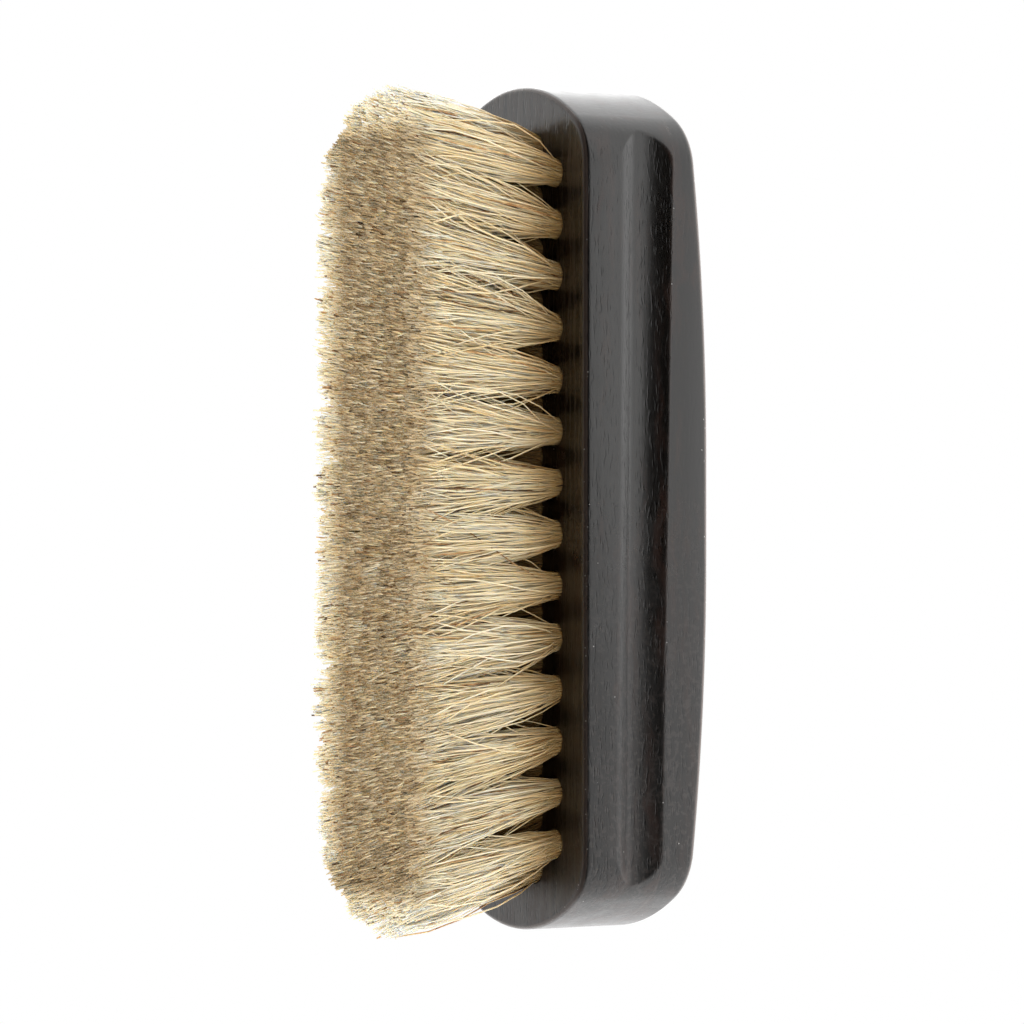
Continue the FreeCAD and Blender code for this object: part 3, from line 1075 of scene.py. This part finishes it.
    @staticmethod
    def disc(count: int, dice: Dice) -> Array:
        """Scatter points evenly over the unit disc.

        Args:
            count: How many.
            dice: Source of chance.

        Returns:
            The points.
        """
        angle = dice.uniform(0, 2 * math.pi, count)
        reach = np.sqrt(dice.uniform(0, 1, count))
        return np.stack([reach * np.cos(angle), reach * np.sin(angle)], axis=1)

    @staticmethod
    def some(count: int, share: float, dice: Dice) -> Array:
        """Pick a share of the hairs, as a mask."""
        return dice.uniform(0, 1, count) < share

    def valley(self, tip: Array, mouth: Array) -> Array:
        """Tell how near each tip is to the valley between its lengthwise row and the next.

        Args:
            tip: Places of the tips across their tuft's axis.
            mouth: The tuft's hole mouth.

        Returns:
            Shares from 0 to 1, 0 on the outer side of an outer row.
        """
        spread = 1 + (self.trim_height - self.block_height) / self.fan_distance
        across = tip[:, 1] / (self.row_pitch / 2 * spread)
        if abs(mouth[1]) > (self.row_count / 2 - 1) * self.row_pitch:
            across = np.maximum(-across * np.sign(mouth[1]), 0)
        return np.minimum(across ** 2, 1)

    def edge(self, places: Array) -> Array:
        """Tell how much painted light each tip gets for being near an edge, standing in for light that comes
        through the hair.

        Args:
            places: Tips in plan.

        Returns:
            Shares of a hair's length, most on the far side.
        """
        half = np.array([self.tip_half_length, self.tip_half_width])
        out = np.abs(places - (self.tip_middle, 0)) - half
        pale = np.full_like(out, self.end_painted_light)
        pale[:, 1] = np.interp(places[:, 1], (-half[1], half[1]), self.edge_painted_light)
        return np.linalg.norm(np.clip(out / self.edge_width + 1, 0, 1) * pale, axis=1)

    def shortfall(self, valley: Array, dice: Dice) -> Array:
        """Tell how far each hair ends under the trimmed face.

        Args:
            valley: How near each hair is to a valley between rows, from 0 to 1.
            dice: Source of chance.

        Returns:
            Drops, less than nothing for a hair that stands proud.
        """
        drop = dice.normal(0, self.trim_scatter, len(valley)) + self.valley_drop * valley
        tapered = self.some(len(valley), self.tapered_share, dice)
        drop[tapered] += dice.uniform(0, self.tapered_drop, tapered.sum())
        proud = self.some(len(valley), self.proud_share, dice)
        drop[proud] -= dice.uniform(*self.proud_rise, proud.sum())
        return drop

    def hold_in(self, places: Array, dice: Dice) -> Array:
        """Bring tips that stand out back to the trimmed outline, give or take a little.

        Args:
            places: Tips in plan.
            dice: Source of chance.

        Returns:
            The tips, all inside a rectangle with round corners.
        """
        half = np.array([self.tip_half_length, self.tip_half_width])
        out = places - (self.tip_middle, 0)
        out[:, 0] *= 1 + self.far_taper * np.clip(out[:, 1] / self.tip_half_width, 0, 1)
        beyond = np.abs(out) - (half - self.tip_corner)
        outside = np.linalg.norm(np.maximum(beyond, 0), axis=1) - self.tip_corner
        slack = np.abs(dice.normal(0, self.tip_slack, len(places)))
        pull = np.maximum(outside, 0) * self.tip_pull + np.where(outside > 0, slack, 0)
        way = np.maximum(beyond, 0) * np.sign(out)
        way /= np.maximum(np.linalg.norm(way, axis=1, keepdims=True), TINY)
        return places - way * pull[:, None]

    def mesh_of(self, name: str, hairs: Hairs, pattern: HairPattern) -> bpy.types.Mesh:
        """Bend the pattern into every hair.

        Args:
            name: The mesh's name.
            hairs: The hairs to make.
            pattern: The mesh of one hair.

        Returns:
            All the hairs in one mesh.
        """
        count = len(hairs.radius)
        points_each = len(pattern.along)
        cos, sin = np.cos(hairs.turn)[:, None], np.sin(hairs.turn)[:, None]
        x, y = pattern.across[None, :, 0], pattern.across[None, :, 1]
        ring = np.stack([cos * x - sin * y, sin * x + cos * y, np.zeros((count, points_each))], axis=2)
        points = hairs.lines + ring * hairs.radius[:, None, None]
        first = np.arange(count)[:, None] * points_each
        corners = (pattern.corners[None] + first).ravel()
        sizes = np.tile(pattern.sizes, count)
        mesh = bpy.data.meshes.new(name)
        mesh.vertices.add(count * points_each)
        mesh.vertices.foreach_set("co", points.astype(np.float32).ravel())
        mesh.loops.add(len(corners))
        mesh.loops.foreach_set("vertex_index", corners.astype(np.int32))
        mesh.polygons.add(len(sizes))
        mesh.polygons.foreach_set("loop_start", (np.cumsum(sizes) - sizes).astype(np.int32))
        # The along attribute keeps each point's place on the painted shade ramp.
        looks = {"tone": np.repeat(hairs.tone, points_each), "along": hairs.shade.ravel()}
        for label, values in looks.items():
            kept = mesh.attributes.new(label, "FLOAT", "POINT")
            kept.data.foreach_set("value", values.astype(np.float32))
        mesh.update(calc_edges=True)
        mesh.validate()
        mesh.shade_smooth()
        return mesh

    def build(self, pattern: HairPattern) -> list[Piece]:
        """Make every cross row of tufts.

        Args:
            pattern: The mesh of one hair.

        Returns:
            The rows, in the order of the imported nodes.
        """
        dice = np.random.default_rng(self.seed)
        rows = []
        for number, mouths in enumerate(self.stations(), start=1):
            tufts = [self.grow(mouth, pattern.along, dice) for mouth in mouths]
            hairs = Hairs(*(np.concatenate([getattr(tuft, part) for tuft in tufts])
                            for part in Hairs.__dataclass_fields__))
            name = f"bristle_row_{number:02d}"
            row = bpy.data.objects.new(name, self.mesh_of(name, hairs, pattern))
            bpy.context.scene.collection.objects.link(row)
            rows.append(row)
        return rows

    def dress(self, rows: list[Piece], material: Material) -> None:
        """Finish the rows and put them in the frame.

        Args:
            rows: The rows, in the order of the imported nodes.
            material: Their finish.
        """
        for number, row in enumerate(rows, start=1):
            put_on(row, material)
            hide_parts(f"tuft_row_{number:02d}")
            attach(row, BODY)


@dataclass
class PhotoCamera:
    """The camera where the photograph was taken from, turned so that the block stands upright."""

    aim: Point = (0.0, 0.0, 0.0278)
    elevation: float = 31.0
    distance: float = 0.96
    view_width: float = 0.1947
    aim_pixel: tuple[float, float] = (515.1, 508.5)
    roll: float = 0.02
    sensor: float = 36.0
    near_clip: float = 0.01

    def build(self) -> Piece:
        """Make the camera and look through it.

        Returns:
            The camera.
        """
        lift = math.radians(self.elevation)
        back = Vector((0, -math.cos(lift), math.sin(lift)))
        right = Vector((0, -math.sin(lift), -math.cos(lift)))
        up = Vector((1, 0, 0))
        metre_per_pixel = self.view_width / FRAME_PIXELS
        middle = FRAME_PIXELS / 2
        target = Vector(self.aim)
        target -= right * ((self.aim_pixel[0] - middle) * metre_per_pixel)
        target += up * ((self.aim_pixel[1] - middle) * metre_per_pixel)
        data = bpy.data.cameras.new("photo_camera")
        data.sensor_width = self.sensor
        data.lens = self.sensor * self.distance / self.view_width
        data.clip_start = self.near_clip
        camera = bpy.data.objects.new("photo_camera", data)
        bpy.context.scene.collection.objects.link(camera)
        look = Matrix((right, up, back)).transposed().to_4x4()
        turn = look @ Matrix.Rotation(math.radians(self.roll), 4, "Z")
        camera.matrix_world = Matrix.Translation(target + back * self.distance) @ turn
        bpy.context.scene.camera = camera
        return camera


@dataclass
class Studio:
    """White paper on a light table, two softboxes, and a room that is dark behind the camera."""

    floor_size: float = 6.0
    floor_cells: int = 40
    room_light: float = 1.25
    room_span: Span = (-0.45, 0.75)
    softbox_size: float = 1.4
    softbox_place: Point = (0.45, -0.75, 0.50)
    softbox_aim: Point = (0.0, -0.01, 0.045)
    softbox_power: float = 14.6

    def build(self, paper: Material) -> Piece:
        """Set up floor and light.

        Args:
            paper: The floor's finish.

        Returns:
            The floor.
        """
        bpy.context.scene.view_settings.view_transform = "Standard"
        deselect_all()
        bpy.ops.mesh.primitive_grid_add(x_subdivisions=self.floor_cells, y_subdivisions=self.floor_cells,
                                        size=self.floor_size, location=(0, 0, 0))
        floor = bpy.context.object
        floor.name = "studio_floor"
        put_on(floor, paper)
        self.light_room()
        return floor

    def light_bristles(self, rows: list[Piece]) -> None:
        """Hang a softbox past each end of the block, flagged so that it lights the bristles alone.

        Args:
            rows: The bristle rows.
        """
        lit = bpy.data.collections.new("lit_bristles")
        for row in rows:
            lit.objects.link(row)
        for side in (-1, 1):
            data = bpy.data.lights.new("softbox", "AREA")
            data.energy = self.softbox_power
            data.size = self.softbox_size
            lamp = bpy.data.objects.new("softbox", data)
            bpy.context.scene.collection.objects.link(lamp)
            lamp.location = Vector(self.softbox_place) * Vector((side, 1, 1))
            aim = Vector(self.softbox_aim) - lamp.location
            lamp.rotation_euler = aim.to_track_quat("-Z", "Y").to_euler()
            lamp.light_linking.receiver_collection = lit

    def light_room(self) -> None:
        """Light the room from behind the brush, through overhead, to the dark behind the camera."""
        world = bpy.data.worlds.new("white_room")
        world.use_nodes = True
        bpy.context.scene.world = world
        desk = NodeDesk(world.node_tree)
        axes = desk.axes(desk.add("ShaderNodeTexCoord").outputs["Generated"])
        light = desk.spread(axes.outputs["Y"], self.room_span, (0.0, self.room_light))
        seen = desk.add("ShaderNodeLightPath").outputs["Is Camera Ray"]
        desk.feed_all(world.node_tree.nodes["Background"], {
            "Color": (1, 1, 1, 1),
            "Strength": desk.math("MAXIMUM", light, seen),
        })


def main() -> None:
    """Build the dressed brush and its studio."""
    logging.basicConfig(level=logging.INFO, format="%(name)s: %(message)s")
    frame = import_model()
    effects = SurfaceEffects()
    camera = PhotoCamera().build()
    LOG.info("%s at %.3f, %.3f, %.3f", camera.name, *camera.location)
    studio = Studio()
    floor = studio.build(StudioPaper().make(effects))
    LOG.info("%s", floor.name)

    tufts = TuftField()
    mouths = np.concatenate(tufts.stations())
    block = Block()
    wood = block.build(mouths, tufts.axes(mouths))
    block.dress(wood, StainedWood().make(effects))
    LOG.info("%s: %d faces", wood.name, len(wood.data.polygons))

    rows = tufts.build(HairStock().build())
    tufts.dress(rows, BristleHair().make(effects))
    studio.light_bristles(rows)
    for row in rows:
        LOG.info("%s: %d faces", row.name, len(row.data.polygons))

    anchors = frame["nodes"]["tuft_anchors"]
    put_on(anchors, AnchorSteel().make(effects))
    LOG.info("%s: finish only", anchors.name)


if __name__ == "__main__":
    main()
